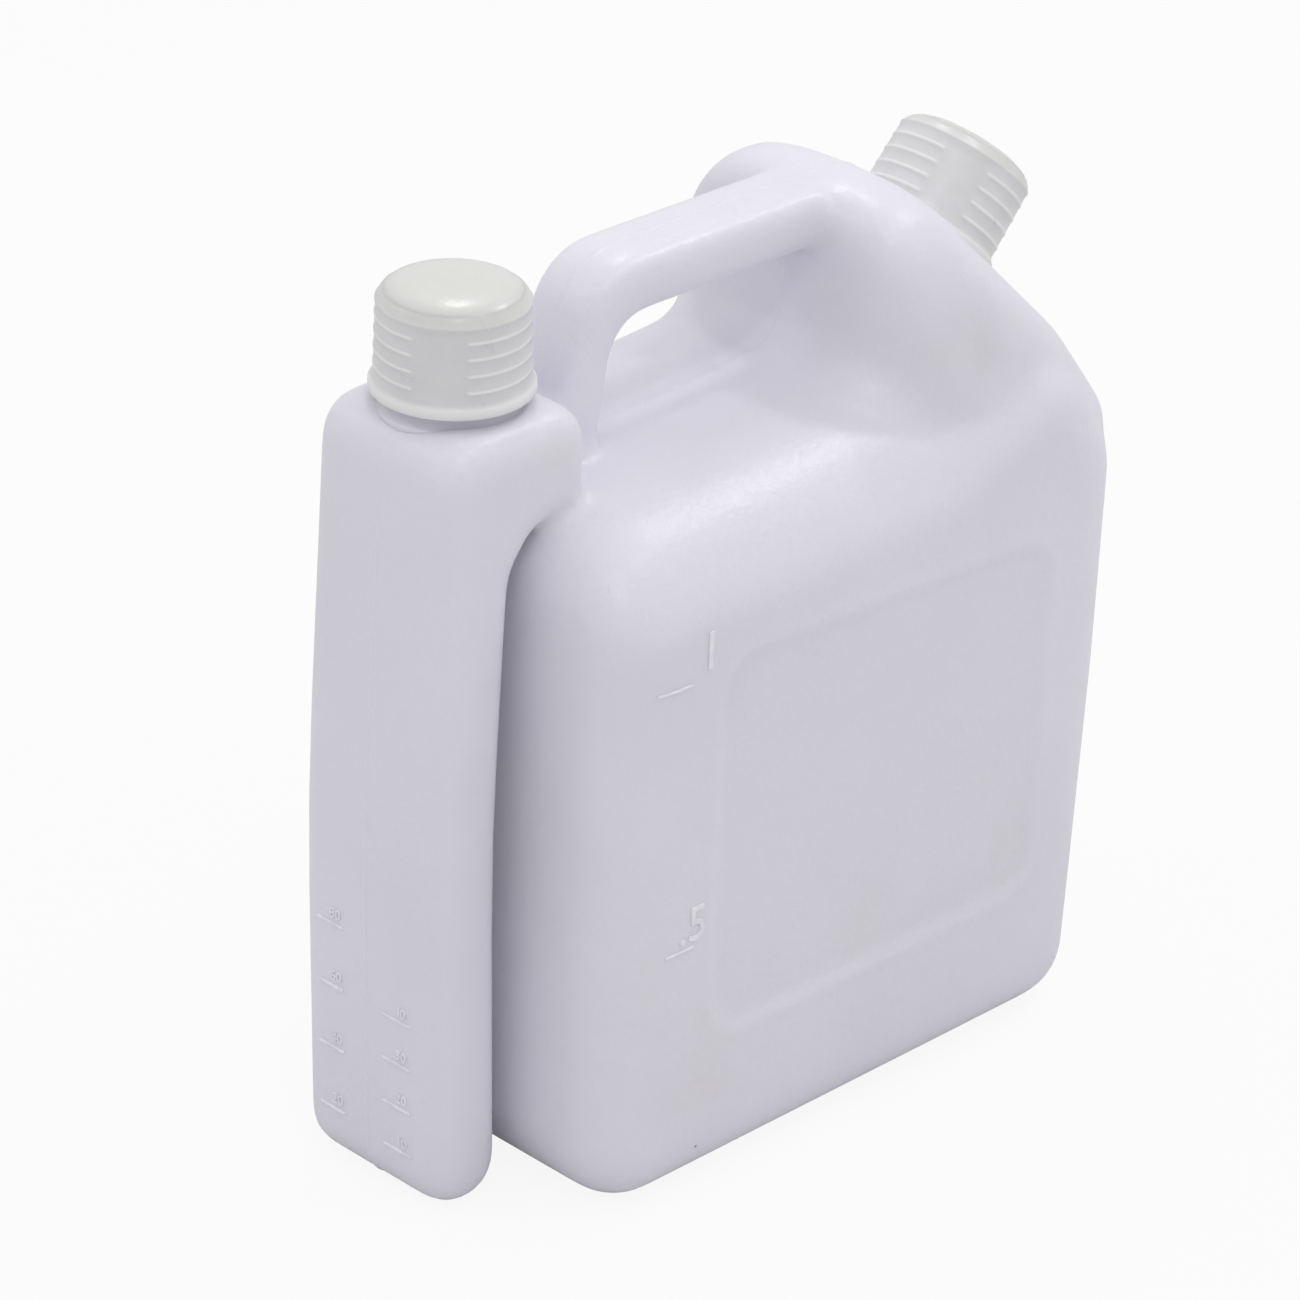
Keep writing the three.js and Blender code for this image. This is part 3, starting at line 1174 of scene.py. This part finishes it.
@dataclass
class SealDisc:
    """Foam liner with a raised sealing ring, resting on the neck's lip."""

    palette: Palette
    seat: Seat
    node: str
    body: str
    radius: float = 13.2
    bottom: float = 21.6
    top: float = 22.8

    def build(self) -> bpy.types.Object:
        """Make the liner.

        Returns:
            The liner, dressed and riding on its body.
        """
        disc = Bench.turned(f"{self.seat.name}_liner", [
            (0.0, self.bottom + 0.15), (9.6, self.bottom + 0.15), (10.2, self.bottom), (13.0, self.bottom),
            (self.radius, self.bottom + 0.2), (self.radius, self.top - 0.2), (13.0, self.top), (0.0, self.top),
        ], 72)
        Bench.place(disc, self.seat.matrix())
        dress(disc, self.palette.seal, self.body, 50.0)
        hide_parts(self.node)
        return disc


@dataclass
class Studio:
    """Camera, pale floor and soft lamps."""

    place: tuple[float, float, float] = (-0.7712, -0.7421, 0.6445)
    right: tuple[float, float, float] = (0.7100, -0.7035, 0.0326)
    back: tuple[float, float, float] = (-0.6360, -0.6206, 0.4586)
    lens: float = 162.6
    world: float = 0.76

    def camera(self) -> None:
        """Set the photograph's viewpoint."""
        back = Vector(self.back).normalized()
        right = Vector(self.right)
        right = (right - back * right.dot(back)).normalized()
        up = back.cross(right)
        data = bpy.data.cameras.new("viewpoint")
        data.lens = self.lens
        data.sensor_width = 36.0
        data.clip_end = 20.0
        camera = bpy.data.objects.new("viewpoint", data)
        turn = Matrix((right, up, back)).transposed().to_4x4()
        camera.matrix_world = Matrix.Translation(self.place) @ turn
        bpy.context.scene.collection.objects.link(camera)
        bpy.context.scene.camera = camera

    def floor(self) -> None:
        """Lay the pale floor, which keeps the shadow."""
        Bench.clear()
        bpy.ops.mesh.primitive_plane_add(size=8.0)
        floor = bpy.context.object
        floor.name = "floor"
        dye = Dye("floor_paper")
        dye.constants(Base_Color=(0.72, 0.72, 0.72, 1.0), Roughness=0.9, Specular_IOR_Level=0.1)
        glow = dye.node("ShaderNodeEmission", Color=(1.0, 1.0, 1.0, 1.0), Strength=1.0)
        seen = dye.node("ShaderNodeLightPath").outputs["Is Camera Ray"]
        share = Term(dye.tree, seen) * 0.9
        mix = dye.node("ShaderNodeMixShader")
        dye.feed(mix.inputs[0], share)
        dye.feed(mix.inputs[1], dye.surface.outputs[0])
        dye.feed(mix.inputs[2], glow.outputs[0])
        dye.feed(dye.tree.nodes["Material Output"].inputs["Surface"], mix.outputs[0])
        floor.data.materials.append(dye.material)

    def lamp(
        self, name: str, place: Sequence[float], aim: Sequence[float], size: float, power: float
    ) -> None:
        """Hang one soft square lamp.

        Args:
            name: Name of the lamp.
            place: Where it hangs, in metres.
            aim: The point that it faces.
            size: Side of the square.
            power: Its power in watts.
        """
        data = bpy.data.lights.new(name, "AREA")
        data.shape = "SQUARE"
        data.size = size
        data.energy = power
        obj = bpy.data.objects.new(name, data)
        obj.location = place
        obj.rotation_euler = (Vector(aim) - Vector(place)).to_track_quat("-Z", "Y").to_euler()
        bpy.context.scene.collection.objects.link(obj)

    def lights(self) -> None:
        """Light the bottle softly from above and both sides."""
        world = bpy.data.worlds.new("soft_room")
        world.use_nodes = True
        background = world.node_tree.nodes["Background"]
        background.inputs["Color"].default_value = (1.0, 1.0, 1.0, 1.0)
        background.inputs["Strength"].default_value = self.world
        bpy.context.scene.world = world
        self.lamp("key", (-0.55, -0.75, 1.6), (0.0, 0.0, 0.1), 0.16, 2.3)
        self.lamp("second", (0.35, -0.55, 1.7), (0.0, 0.0, 0.1), 0.16, 1.4)
        self.lamp("side", (-0.9, 0.9, 1.2), (0.0, 0.0, 0.1), 0.3, 1.0)
        self.lamp("glint_right", (0.75, -0.1, 1.15), (0.0, 0.0, 0.1), 0.12, 1.6)
        self.lamp("glint_back", (0.45, 0.5, 1.2), (0.0, 0.0, 0.1), 0.12, 1.6)

    def build(self) -> None:
        """Set up the whole studio."""
        self.camera()
        self.floor()
        self.lights()
        bpy.context.scene.view_settings.view_transform = "Standard"


def main() -> None:
    """Build every piece in order."""
    logging.basicConfig(level=logging.INFO, format="%(name)s: %(message)s")
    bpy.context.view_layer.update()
    Studio().build()
    palette = Palette.mixed()
    skin = BottleShell(palette).build()
    LevelMarks(palette, skin).build()
    ScrewCap(palette, MEASURING_SEAT, "measuring_cap", "measuring_closure", 195.0, 238.0).build()
    ScrewCap(palette, SPOUT_SEAT, "spout_cap", "spout_closure", 200.0, 240.0).build()
    SealDisc(palette, MEASURING_SEAT, "measuring_cap_seal", "measuring_liner").build()
    SealDisc(palette, SPOUT_SEAT, "spout_cap_seal", "spout_liner").build()


if __name__ == "__main__":
    main()
